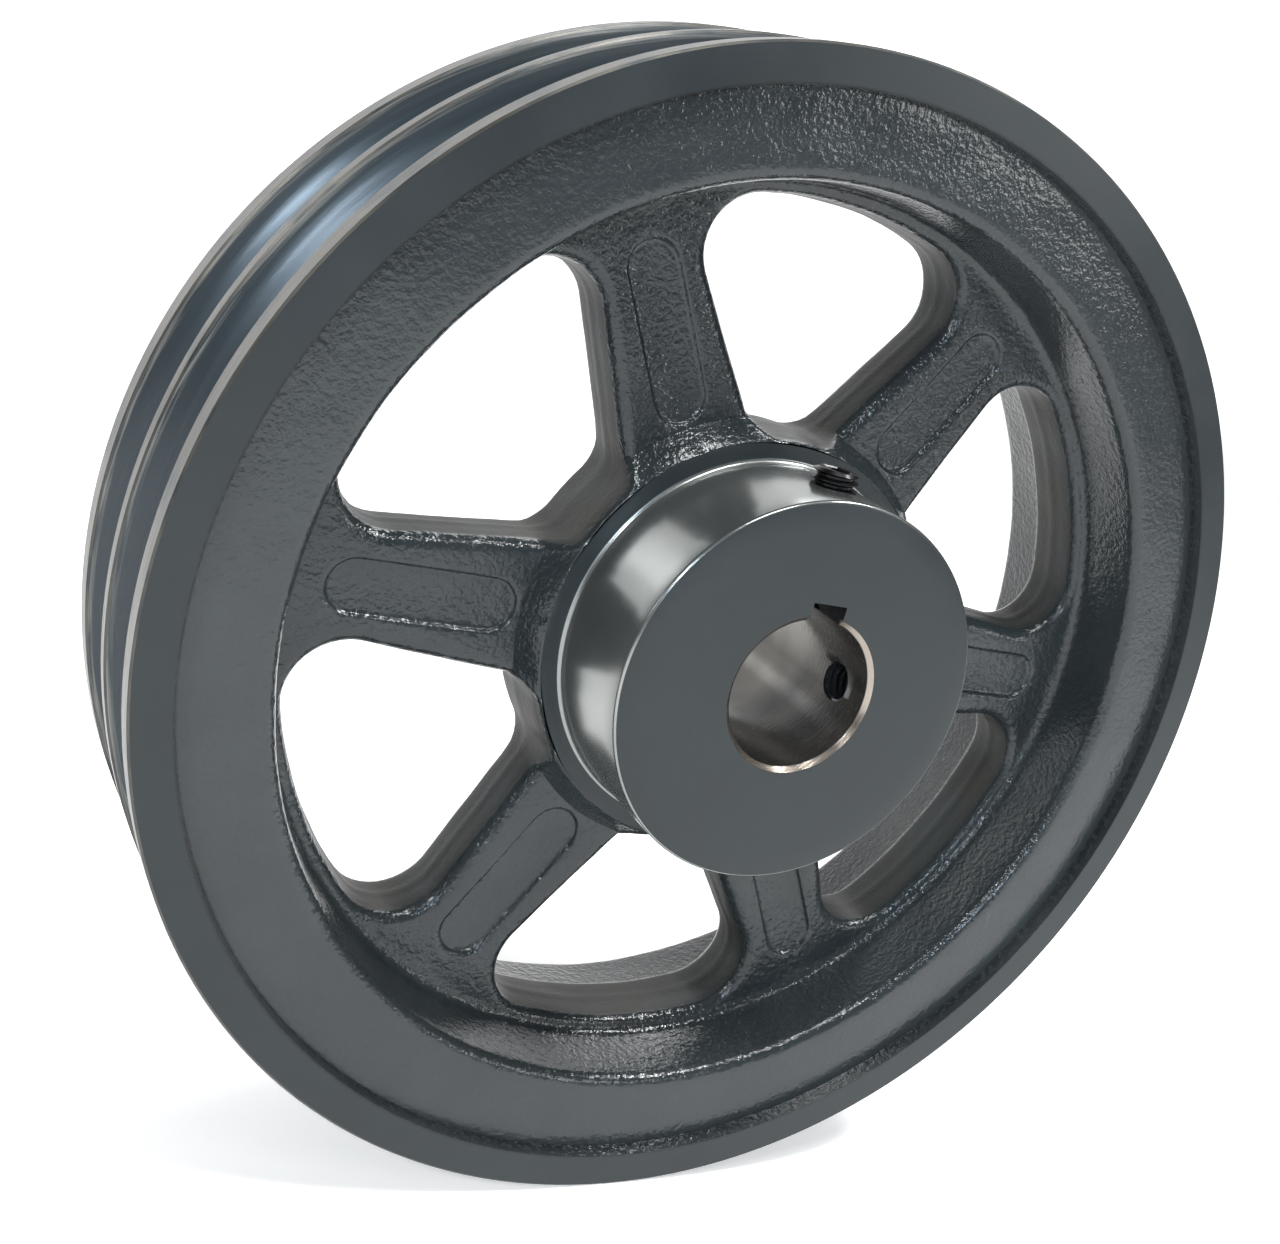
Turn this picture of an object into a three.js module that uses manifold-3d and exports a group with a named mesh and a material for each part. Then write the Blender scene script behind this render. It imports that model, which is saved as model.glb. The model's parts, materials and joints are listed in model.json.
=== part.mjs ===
// V-belt pulley: a grey-iron sheave for two B-section belts, cast in one piece with six arms,
// bored and keyed for a 1 inch shaft and locked by two socket set screws in the hub.
//
// Millimetres. The bore lies along Y with the hub's long end towards -Y. The keyway points to +Z.
// The origin is on the bore's axis, in the middle of the rim's width.

import * as THREE from 'three';
import { mergeVertices } from 'three/addons/utils/BufferGeometryUtils.js';
import Module from 'manifold-3d';

// ---------- driving dimensions ----------

const INCH = 25.4;

// rim and belt grooves
const RIM_R = 7.75 * INCH / 2;
const RIM_WIDTH = 1.75 * INCH;
const GROOVE_PITCH = 0.75 * INCH;
const GROOVE_TOP_WIDTH = 0.637 * INCH;
const GROOVE_ANGLE = 38;
const GROOVE_DEPTH = 14.3;
const RIM_EDGE_BREAK = 0.4;
const BAND_INNER_R = 92.4;
const BAND_STEP = 2.5;
const BAND_STEP_SLOPE = 0.5;

// inside of the rim, as cast
const DRUM_MOUTH_R = 78.4;
const DRUM_ROOT_R = 77.5;
const DRUM_MOUTH_ROUND = 2.2;
const DRUM_ROOT_FILLET = 2;

// arms and the windows between them
const ARM_COUNT = 6;
const ARM_THICKNESS = 13;
const ARM_HALF_WIDTH = 9.5;
const ARM_TAPER = 0.1;
const ARM_TAPER_R = 60;
const WINDOW_INNER_R = 36.8;
const WINDOW_OUTER_R = 74.5;
const WINDOW_INNER_FILLET = 6;
const WINDOW_OUTER_FILLET = 9;

// hub
const HUB_PROJECTION = 0.375 * INCH;
const HUB_LENGTH = 1.625 * INCH;
const HUB_R = 32.4;
const HUB_EDGE_BREAK = 0.6;
const BOSS_TOP_R = 35.8;
const BOSS_ROOT_R = 38.4;
const BOSS_HEIGHT = 4.3;
const HUB_BACK_R = 34.2;
const HUB_BACK_ROOT_R = 36.4;
const BORE_R = 1.0 * INCH / 2;
const BORE_CHAMFER = 0.8;
const KEYWAY_WIDTH = 0.25 * INCH;
const KEYWAY_TOP = 15.47;

// set screws, 5/16-18 by 1/2 inch, cup point
const SCREW_R = 0.3125 * INCH / 2;
const SCREW_LENGTH = 0.5 * INCH;
const SCREW_PITCH = INCH / 18;
const SCREW_CLEARANCE = 0.33;
const CUP_R = 2.2;
const CUP_LENGTH = 1.6;
const CUP_DEPTH = 0.7;
const SOCKET_ACROSS_FLATS = 0.15625 * INCH;
const SOCKET_DEPTH = 4.2;
const SOCKET_SIDES = 6;
const SCREW_END_BEVEL = 0.5;
const KEY_SCREW_TURNS_OUT = 5;
const SHAFT_SCREW_TURNS_OUT = 7;

// facets
const ROUND_SEGMENTS = 72;
const SCREW_SEGMENTS = 24;
const ARC_DIVISIONS = 4;
const CUT_OVERRUN = 5;
const MERGE_DISTANCE = 1e-4;

// ---------- derived places ----------

const RIM_FRONT = -RIM_WIDTH / 2;
const HUB_FRONT = RIM_FRONT - HUB_PROJECTION;
const HUB_BACK = HUB_FRONT + HUB_LENGTH;
const ARM_FACE = ARM_THICKNESS / 2;
const SCREW_Y = RIM_FRONT;
const HALF_PITCH = Math.PI / ARM_COUNT;
const KEY_SCREW_TIP = KEYWAY_TOP + KEY_SCREW_TURNS_OUT * SCREW_PITCH;
const SHAFT_SCREW_TIP = BORE_R + SHAFT_SCREW_TURNS_OUT * SCREW_PITCH;

// ---------- materials ----------

const painted_iron = () => new THREE.MeshStandardMaterial({
  color: 0x474d52,
  roughness: 0.45,
  metalness: 0.3,
});

const black_oxide = () => new THREE.MeshStandardMaterial({
  color: 0x1c1c1e,
  roughness: 0.4,
  metalness: 0.85,
});

// ---------- solids ----------

const wasm = await Module();
wasm.setup();

// A closed three.js geometry as a manifold solid.
function solid(geometry) {
  const bare = geometry.index ? geometry.toNonIndexed() : geometry.clone();
  for (const name of Object.keys(bare.attributes)) {
    if (name !== 'position') bare.deleteAttribute(name);
  }
  const merged = mergeVertices(bare, MERGE_DISTANCE);
  return new wasm.Manifold(new wasm.Mesh({
    numProp: 3,
    vertProperties: new Float32Array(merged.attributes.position.array),
    triVerts: new Uint32Array(merged.index.array),
  }));
}

// A manifold solid back as a three.js geometry.
function geometryOf(manifold) {
  const mesh = manifold.getMesh();
  const geometry = new THREE.BufferGeometry();
  geometry.setAttribute('position', new THREE.BufferAttribute(mesh.vertProperties, 3));
  geometry.setIndex(new THREE.BufferAttribute(mesh.triVerts, 1));
  geometry.computeVertexNormals();
  return geometry;
}

// A closed outline of [radius, height] points turned about Y.
function turned(outline, segments) {
  const points = outline.map(([r, y]) => new THREE.Vector2(r, y));
  return new THREE.LatheGeometry([...points, points[0].clone()], segments);
}

// ---------- the casting ----------

// One V groove as the outline points it adds to the rim, from its front lip to its back lip.
function grooveOutline(centre) {
  const half = GROOVE_TOP_WIDTH / 2;
  const floor = half - GROOVE_DEPTH * Math.tan(THREE.MathUtils.degToRad(GROOVE_ANGLE / 2));
  return [
    [RIM_R, centre - half],
    [RIM_R - GROOVE_DEPTH, centre - floor],
    [RIM_R - GROOVE_DEPTH, centre + floor],
    [RIM_R, centre + half],
  ];
}

// The inside of the rim from the arm face out to the rim's front corner.
function rimInside() {
  const ringFace = RIM_FRONT + BAND_STEP;
  const chord = DRUM_MOUTH_ROUND * (1 - Math.SQRT1_2);
  return [
    [DRUM_ROOT_R - DRUM_ROOT_FILLET, -ARM_FACE],
    [DRUM_ROOT_R, -ARM_FACE - DRUM_ROOT_FILLET],
    [DRUM_MOUTH_R, ringFace + DRUM_MOUTH_ROUND],
    [DRUM_MOUTH_R + chord, ringFace + chord],
    [DRUM_MOUTH_R + DRUM_MOUTH_ROUND, ringFace],
    [BAND_INNER_R - BAND_STEP_SLOPE, ringFace],
    [BAND_INNER_R, RIM_FRONT],
    [RIM_R - RIM_EDGE_BREAK, RIM_FRONT],
    [RIM_R, RIM_FRONT + RIM_EDGE_BREAK],
  ];
}

// The hub from the bore out to the arm face: its long front end, then its short back end.
function hubFront() {
  return [
    [BORE_R, HUB_FRONT + BORE_CHAMFER],
    [BORE_R + BORE_CHAMFER, HUB_FRONT],
    [HUB_R - HUB_EDGE_BREAK, HUB_FRONT],
    [HUB_R, HUB_FRONT + HUB_EDGE_BREAK],
    [HUB_R, -ARM_FACE - BOSS_HEIGHT],
    [BOSS_TOP_R, -ARM_FACE - BOSS_HEIGHT],
    [BOSS_ROOT_R, -ARM_FACE],
  ];
}

function hubBack() {
  return [
    [BORE_R, HUB_BACK - BORE_CHAMFER],
    [BORE_R + BORE_CHAMFER, HUB_BACK],
    [HUB_BACK_R - HUB_EDGE_BREAK, HUB_BACK],
    [HUB_BACK_R, HUB_BACK - HUB_EDGE_BREAK],
    [HUB_BACK_ROOT_R, ARM_FACE],
  ];
}

// Half section of the whole casting before its windows are cut, walked front to back outside.
function castingOutline() {
  const rimBack = rimInside().map(([r, y]) => [r, -y]);
  return [
    ...hubFront(),
    ...rimInside(),
    ...grooveOutline(-GROOVE_PITCH / 2),
    ...grooveOutline(GROOVE_PITCH / 2),
    ...rimBack.reverse(),
    ...hubBack().reverse(),
  ];
}

// Centre of a round corner between a window's right-hand arm and a circle about the bore.
// centreR is the corner centre's own distance from the bore. The window's centre line is +Y here.
function cornerCentre(centreR, filletR) {
  const slope = Math.hypot(1, ARM_TAPER);
  const reach = ARM_HALF_WIDTH + ARM_TAPER * ARM_TAPER_R + filletR * slope;
  const root = Math.sqrt((slope * centreR) ** 2 - reach ** 2);
  const along = (reach * ARM_TAPER + root) / slope ** 2;
  const across = reach - ARM_TAPER * along;
  return new THREE.Vector2(-across, along).rotateAround(new THREE.Vector2(), -HALF_PITCH);
}

// One window's outline in the arm plane: two arcs about the bore, two arm edges, four corners.
function windowShape() {
  const inner = cornerCentre(WINDOW_INNER_R + WINDOW_INNER_FILLET, WINDOW_INNER_FILLET);
  const outer = cornerCentre(WINDOW_OUTER_R - WINDOW_OUTER_FILLET, WINDOW_OUTER_FILLET);
  const innerRight = inner.angle();
  const outerRight = outer.angle();
  const edgeRight = -HALF_PITCH - Math.atan(ARM_TAPER);
  const innerLeft = Math.PI - innerRight;
  const outerLeft = Math.PI - outerRight;
  const edgeLeft = Math.PI - edgeRight;
  const shape = new THREE.Shape();
  shape.absarc(0, 0, WINDOW_INNER_R, innerLeft, innerRight, true);
  shape.absarc(inner.x, inner.y, WINDOW_INNER_FILLET, innerRight - Math.PI, edgeRight, false);
  shape.absarc(outer.x, outer.y, WINDOW_OUTER_FILLET, edgeRight, outerRight, false);
  shape.absarc(0, 0, WINDOW_OUTER_R, outerRight, outerLeft, false);
  shape.absarc(-outer.x, outer.y, WINDOW_OUTER_FILLET, outerLeft, edgeLeft, false);
  shape.absarc(-inner.x, inner.y, WINDOW_INNER_FILLET, edgeLeft, innerLeft + Math.PI, false);
  return shape;
}

// The solid that cuts one window, turned to its place about the bore.
function windowCutter(index) {
  const geometry = new THREE.ExtrudeGeometry(windowShape(), {
    depth: ARM_THICKNESS + 2 * CUT_OVERRUN,
    curveSegments: ARC_DIVISIONS,
    bevelEnabled: false,
  });
  geometry.rotateX(Math.PI / 2);
  geometry.translate(0, ARM_FACE + CUT_OVERRUN, 0);
  geometry.rotateY(index * 2 * Math.PI / ARM_COUNT);
  return solid(geometry);
}

function keywayCutter() {
  const length = HUB_BACK - HUB_FRONT + 2 * CUT_OVERRUN;
  const geometry = new THREE.BoxGeometry(KEYWAY_WIDTH, length, KEYWAY_TOP);
  geometry.translate(0, (HUB_FRONT + HUB_BACK) / 2, KEYWAY_TOP / 2);
  return solid(geometry);
}

// A screw hole from inside the bore out past the hub, along +Z before it is turned about Y.
function screwHoleCutter(turn) {
  const length = HUB_R - BORE_R + 2 * CUT_OVERRUN;
  const radius = SCREW_R + SCREW_CLEARANCE;
  const geometry = new THREE.CylinderGeometry(radius, radius, length, SCREW_SEGMENTS);
  geometry.rotateX(Math.PI / 2);
  geometry.translate(0, SCREW_Y, (HUB_R + BORE_R) / 2);
  geometry.rotateY(turn);
  return solid(geometry);
}

function sheaveCasting() {
  let casting = solid(turned(castingOutline(), ROUND_SEGMENTS));
  for (let index = 0; index < ARM_COUNT; index += 1) {
    casting = casting.subtract(windowCutter(index));
  }
  casting = casting.subtract(keywayCutter());
  for (const turn of [0, Math.PI / 2]) {
    casting = casting.subtract(screwHoleCutter(turn));
  }
  const mesh = new THREE.Mesh(geometryOf(casting), painted_iron());
  mesh.name = 'sheave_casting';
  return mesh;
}

// ---------- the set screws ----------

// A headless screw with its cup point at the origin and its socket end up +Y.
function setScrewGeometry() {
  const body = solid(turned([
    [0, CUP_DEPTH],
    [CUP_R, 0],
    [SCREW_R, CUP_LENGTH],
    [SCREW_R, SCREW_LENGTH - SCREW_END_BEVEL],
    [SCREW_R - SCREW_END_BEVEL, SCREW_LENGTH],
    [0, SCREW_LENGTH],
  ], SCREW_SEGMENTS));
  const cornerR = SOCKET_ACROSS_FLATS / Math.sqrt(3);
  const depth = SOCKET_DEPTH + CUT_OVERRUN;
  const socket = new THREE.CylinderGeometry(cornerR, cornerR, depth, SOCKET_SIDES);
  socket.translate(0, SCREW_LENGTH + (CUT_OVERRUN - SOCKET_DEPTH) / 2, 0);
  return geometryOf(body.subtract(solid(socket)));
}

// A set screw pointing at the bore, its tip at tipR from the axis, turned about Y from +Z.
function setScrew(name, tipR, turn) {
  const screw = new THREE.Mesh(setScrewGeometry(), black_oxide());
  screw.name = name;
  screw.rotation.x = Math.PI / 2;
  screw.position.set(0, SCREW_Y, tipR);
  const arm = new THREE.Group();
  arm.rotation.y = turn;
  arm.add(screw);
  return arm;
}

// ---------- the assembly ----------

const pulley = new THREE.Group();
pulley.add(sheaveCasting());
pulley.add(setScrew('set_screw_over_key', KEY_SCREW_TIP, 0));
pulley.add(setScrew('set_screw_on_shaft', SHAFT_SCREW_TIP, Math.PI / 2));

export default pulley;
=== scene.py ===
"""A V-belt pulley: one casting with six arms and two belt grooves, and two set screws in its hub.

Metres, in the row frame. The bore lies along Y, the hub's long end faces -Y and the keyway points to +Z.
An angle about the bore is measured from +Z towards +X.
"""

import json
import math

import bmesh
import bpy
import numpy as np
from mathutils import Matrix, Vector, noise


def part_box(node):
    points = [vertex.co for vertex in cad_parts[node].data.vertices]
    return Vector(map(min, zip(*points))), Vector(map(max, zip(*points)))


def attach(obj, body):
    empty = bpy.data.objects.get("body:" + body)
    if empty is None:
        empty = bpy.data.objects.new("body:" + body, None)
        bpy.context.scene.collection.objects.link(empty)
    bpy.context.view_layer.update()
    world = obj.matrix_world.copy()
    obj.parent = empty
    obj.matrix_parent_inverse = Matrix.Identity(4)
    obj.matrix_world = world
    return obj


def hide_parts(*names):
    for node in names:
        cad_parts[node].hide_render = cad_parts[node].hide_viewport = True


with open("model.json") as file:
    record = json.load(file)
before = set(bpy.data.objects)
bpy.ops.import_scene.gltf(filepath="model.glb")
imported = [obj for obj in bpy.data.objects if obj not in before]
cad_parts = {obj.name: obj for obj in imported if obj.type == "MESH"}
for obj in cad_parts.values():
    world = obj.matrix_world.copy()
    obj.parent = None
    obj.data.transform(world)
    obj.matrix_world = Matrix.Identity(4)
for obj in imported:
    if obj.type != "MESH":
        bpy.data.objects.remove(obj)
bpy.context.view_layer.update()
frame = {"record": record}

MM = 0.001
TURN = 2 * math.pi

# ---------- sizes that the frame gives ----------

casting_low, casting_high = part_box("sheave_casting")
key_screw_low, key_screw_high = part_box("set_screw_over_key")
shaft_screw_low, shaft_screw_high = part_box("set_screw_on_shaft")

RIM_R = casting_high.x
RIM_BACK = casting_high.y
RIM_FRONT = -RIM_BACK
HUB_FRONT = casting_low.y
HUB_BACK = next(m["pos_m"][1] for m in frame["record"]["mounts"] if m["name"] == "hub_back_face")
SCREW_Y = (key_screw_low.y + key_screw_high.y) / 2
SCREW_R = (key_screw_high.x - key_screw_low.x) / 2
SCREW_LENGTH = key_screw_high.z - key_screw_low.z
KEY_SCREW_TIP = key_screw_low.z
SHAFT_SCREW_TIP = shaft_screw_low.x

# ---------- sizes of the casting ----------

# how finely it is divided: round the bore, along a window's outline, and across its faces, edges and walls
STEPS = 240
WINDOW_PART_POINTS = 33
WINDOW_SIDE_STEPS = 26
FACE_ROWS = 8
EDGE_ROWS = 8
WALL_ROWS = 11
WELD_DISTANCE = 0.001 * MM

ARM_COUNT = 6
ARM_FACE = 6.5 * MM
ARM_HALF_WIDTH = 9.5 * MM
ARM_TAPER_R = 60 * MM
ARM_TAPER = 0.1

WINDOW_INNER_R = 36.8 * MM
WINDOW_OUTER_R = 74.5 * MM
WINDOW_INNER_FILLET = 6 * MM
WINDOW_OUTER_FILLET = 9 * MM
WALL_DRAFT = 0.03
PARTING_RIDGE = 0.16 * MM
PARTING_RIDGE_WIDTH = 0.7 * MM

# how far a window's edge is rounded, in from the edge and down its wall, at four distances from the bore
EDGE_ROUND_RADII = (WINDOW_INNER_R, WINDOW_INNER_R + 5 * MM, WINDOW_OUTER_R - 7 * MM, WINDOW_OUTER_R)
EDGE_ROUND_IN = (1.0 * MM, 2.4 * MM, 2.4 * MM, 1.7 * MM)
EDGE_ROUND_DOWN_FRONT = (4.2 * MM, 2.8 * MM, 2.6 * MM, 2.4 * MM)
EDGE_ROUND_DOWN_BACK = (1.6 * MM, 2.6 * MM, 2.6 * MM, 2.4 * MM)

SHOULDER_FRONT = (35.9 * MM, 10.8 * MM)
SHOULDER_BACK = (35.4 * MM, 7.3 * MM)
SHOULDER_FOOT_R = 39.8 * MM
SHOULDER_EARLY_SHARE = 0.55
SHOULDER_EVEN_SHARE = 0.45
FLANGE_BORDER_R = 77.0 * MM
DRUM_ROOT_R = 77.5 * MM
DRUM_ROOT_FILLET = 2 * MM
DRUM_ROOT_BEND = (77.33 * MM, -7.7 * MM)
DRUM_MOUTH_R = 78.4 * MM
DRUM_MOUTH_ROUND = 2.2 * MM

BAND_INNER_R = 92.4 * MM
BAND_STEP = 2.5 * MM
BAND_STEP_SLOPE = 0.5 * MM
GROOVE_PITCH = 19.05 * MM
GROOVE_TOP_WIDTH = 16.18 * MM
GROOVE_DEPTH = 14.3 * MM
GROOVE_ANGLE = math.radians(38)
GROOVE_FLOOR_FILLET = 0.8 * MM
LIP_ROUND = 0.35 * MM

HUB_R = 32.4 * MM
HUB_ROOT_FILLET = 1.0 * MM
HUB_EDGE_ROUND = 0.6 * MM
HUB_BACK_R = 34.2 * MM
BORE_R = 12.7 * MM
BORE_CHAMFER = 0.8 * MM
KEYWAY_WIDTH = 6.35 * MM
KEYWAY_TOP = 15.47 * MM

PANEL_INNER_R = 40.0 * MM
PANEL_OUTER_R = 70.2 * MM
PANEL_HALF_WIDTH = 4.4 * MM
PANEL_DEPTH = 0.8 * MM
PANEL_END_STEPS = 14
# width against depth, in mm, from above the arm's face down the soft lip and wall to the panel's floor
PANEL_SLOPE = (
    (1.25, -0.6), (0.75, -0.12), (0.45, 0.02), (0.22, 0.14),
    (0.08, 0.32), (-0.06, 0.56), (-0.3, 0.74), (-0.7, 0.8),
)

# cast skin: height of its lumps, and about how far apart they are
LUMP_HEIGHT = 0.16 * MM
LUMP_SPACING = 11 * MM
RIPPLE_HEIGHT = 0.07 * MM
RIPPLE_SPACING = 4 * MM
# where it ends: clear of the rim's turned band, and over what distance it fades out there and by the hub
BAND_CLEARANCE = 0.6 * MM
BAND_FADE = 1.5 * MM
HUB_FADE = 1.0 * MM

# ---------- sizes of the set screws ----------

THREAD_PITCH = 25.4 * MM / 18
THREAD_DEPTH = 0.86 * MM
THREAD_STEPS = 48
THREAD_CLEARANCE = 0.07 * MM
CUP_R = 2.2 * MM
CUP_DEPTH = 0.7 * MM
CUP_LENGTH = 1.6 * MM
# the cup's edge is rounded: how far its inner and outer points lie from the rim of the cup, across and up
CUP_EDGE_INNER = (0.15 * MM, 0.05 * MM)
CUP_EDGE_OUTER = (0.2 * MM, 0.12 * MM)
SOCKET_END_BEVEL = 0.7 * MM
SOCKET_HALF_FLATS = 1.985 * MM
SOCKET_DEPTH = 4.2 * MM
SOCKET_BEVEL = 0.25 * MM
ENVELOPE_CLEARANCE = 0.05 * MM
HOLE_START_R = 8 * MM
HOLE_OVERRUN = 6 * MM

# ---------- camera, fitted to the photograph's outlines of the rim, hub and bore ----------

CAMERA_PLACE = Vector((-0.1450, -0.2288, 0.0699))
CAMERA_TARGET = Vector((0.0183, 0.0, 0.0093))
CAMERA_ROLL = math.radians(17.81)
CAMERA_LENS = 44.852
CAMERA_SENSOR = 36
CAMERA_SHIFT = (-0.1352, -0.0262)


# ---------- mesh helpers ----------

def arc(centre, radius, start, end, steps):
    """Points of an arc from start to end, in degrees, both ends included."""
    angles = np.radians(np.linspace(start, end, steps + 1))
    return [(centre[0] + radius * math.cos(a), centre[1] + radius * math.sin(a)) for a in angles]


def stretch(first, last, steps):
    """Points of a straight line from first to last, without its two ends."""
    return [tuple(np.add(first, np.multiply(i / steps, np.subtract(last, first)))) for i in range(1, steps)]


def turned(outline, steps=STEPS):
    """The rows of points that a line of (radius, y) points makes when it is turned about Y."""
    angles = np.arange(steps) * TURN / steps
    rows = [np.stack([r * np.sin(angles), np.full(steps, y), r * np.cos(angles)], 1) for r, y in outline]
    return np.array(rows)


def joined(name, sheets):
    """One object from sheets of points, each closed round its columns, with shared points welded."""
    points, faces = [], []
    for sheet in sheets:
        rows, columns = sheet.shape[:2]
        first = len(points)
        points.extend(sheet.reshape(-1, 3).tolist())
        for i in range(rows - 1):
            for j in range(columns):
                a, b = first + i * columns + j, first + i * columns + (j + 1) % columns
                faces.append((a, b, b + columns, a + columns))
    mesh = bpy.data.meshes.new(name)
    mesh.from_pydata(points, [], faces)
    return placed(name, welded(mesh))


def welded(mesh):
    """Joins points that share a place, closes flat openings and turns every face outward."""
    shape = bmesh.new()
    shape.from_mesh(mesh)
    bmesh.ops.remove_doubles(shape, verts=shape.verts, dist=WELD_DISTANCE)
    bmesh.ops.dissolve_degenerate(shape, edges=shape.edges, dist=WELD_DISTANCE)
    open_edges = [e for e in shape.edges if e.is_boundary]
    if open_edges:
        bmesh.ops.holes_fill(shape, edges=open_edges, sides=0)
    bmesh.ops.recalc_face_normals(shape, faces=shape.faces)
    shape.to_mesh(mesh)
    shape.free()
    return mesh


def placed(name, data):
    """A piece of the scene with this mesh, light or camera."""
    piece = bpy.data.objects.new(name, data)
    bpy.context.scene.collection.objects.link(piece)
    return piece


def combine(piece, tool, operation):
    """Cuts tool out of piece, or keeps what they share, and removes tool."""
    modifier = piece.modifiers.new("combine", "BOOLEAN")
    modifier.object = tool
    modifier.operation = operation
    modifier.solver = "MANIFOLD"
    evaluated = piece.evaluated_get(bpy.context.evaluated_depsgraph_get())
    result = bpy.data.meshes.new_from_object(evaluated)
    piece.modifiers.clear()
    piece.data = result
    bpy.data.objects.remove(tool)


def rotate_about_bore(piece, angle):
    piece.data.transform(Matrix.Rotation(angle, 4, "Y"))


# ---------- the arms and the windows between them ----------

def unit(angle):
    return np.array([math.cos(angle), math.sin(angle)])


def window_corner(centre_r, fillet):
    """Centre of the fillet, centre_r from the bore, between a window's arm and an arc about the bore."""
    slope = math.hypot(1, ARM_TAPER)
    reach = ARM_HALF_WIDTH + ARM_TAPER * ARM_TAPER_R + fillet * slope
    along = (reach * ARM_TAPER + math.sqrt((slope * centre_r) ** 2 - reach**2)) / slope**2
    across = reach - ARM_TAPER * along
    half_pitch = math.pi / ARM_COUNT
    return along * unit(math.pi / 2 - half_pitch) + across * unit(math.pi - half_pitch)


def window_half():
    """Right half of a window from its hub end to its rim end, in a plane where +Y runs out from the bore.

    Returns its points, the unit normals that point into the iron, and the distances along it of the
    two corners' middles and of its end.
    """
    inner = window_corner(WINDOW_INNER_R + WINDOW_INNER_FILLET, WINDOW_INNER_FILLET)
    outer = window_corner(WINDOW_OUTER_R - WINDOW_OUTER_FILLET, WINDOW_OUTER_FILLET)
    inner_angle = math.atan2(inner[1], inner[0])
    outer_angle = math.atan2(outer[1], outer[0])
    edge_angle = -math.pi / ARM_COUNT - math.atan(ARM_TAPER)
    parts = [
        (np.zeros(2), WINDOW_INNER_R, math.pi / 2, inner_angle, -1),
        (inner, WINDOW_INNER_FILLET, inner_angle - math.pi, edge_angle, 1),
        (outer, WINDOW_OUTER_FILLET, edge_angle, outer_angle, 1),
        (np.zeros(2), WINDOW_OUTER_R, outer_angle, math.pi / 2, 1),
    ]
    points, normals = [], []
    for centre, radius, start, end, facing in parts:
        for angle in np.linspace(start, end, WINDOW_PART_POINTS):
            points.append(centre + radius * unit(angle))
            normals.append(facing * unit(angle))
    points, normals = np.array(points), np.array(normals)
    steps = np.linalg.norm(np.diff(points, axis=0), axis=1)
    travel = np.concatenate([[0], np.cumsum(steps)])
    # the two fillets are the second and the third of the four parts
    hub_first, rim_first, after = (n * WINDOW_PART_POINTS for n in (1, 2, 3))
    hub_corner = (travel[hub_first] + travel[rim_first - 1]) / 2
    rim_corner = (travel[rim_first] + travel[after - 1]) / 2
    return points, normals, travel, [hub_corner, rim_corner, travel[-1]]


def window_loop(border_inner_r):
    """A window's outline, its normals, and the border of its sixth of the wheel, point for point."""
    points, normals, travel, (hub_corner, rim_corner, end) = window_half()
    arc_steps, side_steps = STEPS // ARM_COUNT // 2, WINDOW_SIDE_STEPS
    marks = np.concatenate([
        np.linspace(0, hub_corner, arc_steps + 1)[:-1],
        np.linspace(hub_corner, rim_corner, side_steps + 1)[:-1],
        np.linspace(rim_corner, end, arc_steps + 1),
    ])
    outline = np.stack([np.interp(marks, travel, points[:, k]) for k in (0, 1)], 1)
    facing = np.stack([np.interp(marks, travel, normals[:, k]) for k in (0, 1)], 1)
    facing /= np.linalg.norm(facing, axis=1)[:, None]
    fan = np.linspace(0, math.pi / ARM_COUNT, arc_steps + 1)
    side = np.linspace(border_inner_r, FLANGE_BORDER_R, side_steps + 1)[:-1]
    rim_end = np.full(arc_steps + 1, FLANGE_BORDER_R)
    radii = np.concatenate([np.full(arc_steps, border_inner_r), side, rim_end])
    angles = np.concatenate([fan[:-1], np.full(side_steps, fan[-1]), fan[::-1]])
    border = np.stack([radii * np.sin(angles), radii * np.cos(angles)], 1)
    mirror = np.array([-1, 1])
    return [np.concatenate([a, (a * mirror)[-2:0:-1]]) for a in (outline, facing, border)]


def face_height(radius, shoulder):
    """Height of the arms' face above the middle plane, with the hub's shoulder and the rim's fillet."""
    shoulder_r, shoulder_height = shoulder
    t = np.clip((radius - shoulder_r) / (SHOULDER_FOOT_R - shoulder_r), 0, 1)
    early = t**1.5 * (3 - 2 * t**1.5) * SHOULDER_EARLY_SHARE
    even = t * t * (3 - 2 * t) * SHOULDER_EVEN_SHARE
    height = shoulder_height + (ARM_FACE - shoulder_height) * (early + even)
    into = np.clip(radius - (DRUM_ROOT_R - DRUM_ROOT_FILLET), 0, DRUM_ROOT_FILLET)
    return height + DRUM_ROOT_FILLET - np.sqrt(DRUM_ROOT_FILLET**2 - into**2)


def about_bore(flat):
    """Distance from the bore, and angle about it, of points in a window's plane."""
    return np.linalg.norm(flat, axis=1), np.arctan2(flat[:, 0], flat[:, 1])


def window_side(side, shoulder, round_down):
    """Rows from a sixth's border in to the top of the window's wall, on the front (-1) or the back (1)."""
    outline, facing, border = window_loop(shoulder[0])
    outline_r = np.linalg.norm(outline, axis=1)
    rounding = np.interp(outline_r, EDGE_ROUND_RADII, EDGE_ROUND_IN)
    drop = np.interp(outline_r, EDGE_ROUND_RADII, round_down)
    wall = outline + WALL_DRAFT * ARM_FACE * facing
    edge = wall + rounding[:, None] * facing
    edge_r, edge_angle = about_bore(edge)
    border_r, border_angle = about_bore(border)
    rows = []
    for t in np.linspace(1, 0, FACE_ROWS):
        radius = edge_r + t * (border_r - edge_r)
        angle = edge_angle + t * (border_angle - edge_angle)
        flat = np.stack([radius * np.sin(angle), radius * np.cos(angle)], 1)
        rows.append((flat, face_height(radius, shoulder)))
    for turn in np.radians(np.linspace(0, 90, EDGE_ROWS)[1:]):
        inward = wall + (rounding * (1 - math.sin(turn)))[:, None] * facing
        rows.append((inward, face_height(edge_r, shoulder) - drop * (1 - math.cos(turn))))
    return [(flat, side * height) for flat, height in rows]


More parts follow.
